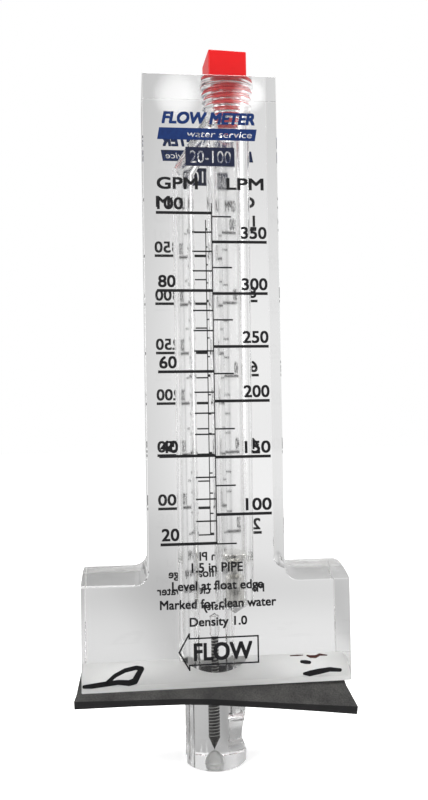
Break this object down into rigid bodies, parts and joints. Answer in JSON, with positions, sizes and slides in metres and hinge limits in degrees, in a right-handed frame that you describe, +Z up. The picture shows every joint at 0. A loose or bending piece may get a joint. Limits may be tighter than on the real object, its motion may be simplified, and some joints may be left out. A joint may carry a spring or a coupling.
{
  "type": "flow meter",
  "caption": "Clear acrylic insertion flow meter for a small pipe: graduated column with a steel float, pitot tube below a rubber saddle gasket and a red square-headed plug.",
  "frame": {"origin": "on the pitot tube's axis at the crown of the pipe, which is the underside of the saddle gasket", "axes": "+X along the pipe towards the inlet scoop's side, -Y out of the graduated front face, +Z up along the column"},
  "size_m": [0.0922, 0.0392, 0.2462],
  "materials": {
    "clear_acrylic": "clear, machined and polished",
    "steel": "turned stainless steel",
    "red_plastic": "moulded, semi-gloss",
    "black_rubber": "matt, dusty top"
  },
  "bodies": {
    "body": {"meter_body": "clear_acrylic", "pitot_tube": "clear_acrylic", "tube_stud": "steel", "saddle_gasket": "black_rubber"},
    "float": {"metering_float": "steel"},
    "plug": {"top_plug": "red_plastic"}
  },
  "joints": [
    {"name": "float_rise", "type": "slide", "parent": "body", "child": "float", "axis": [0, 0, 1], "range_m": [0, 0.147]},
    {"name": "plug_draw", "type": "slide", "parent": "body", "child": "plug", "axis": [0, 0, 1], "range_m": [0, 0.025]}
  ]
}
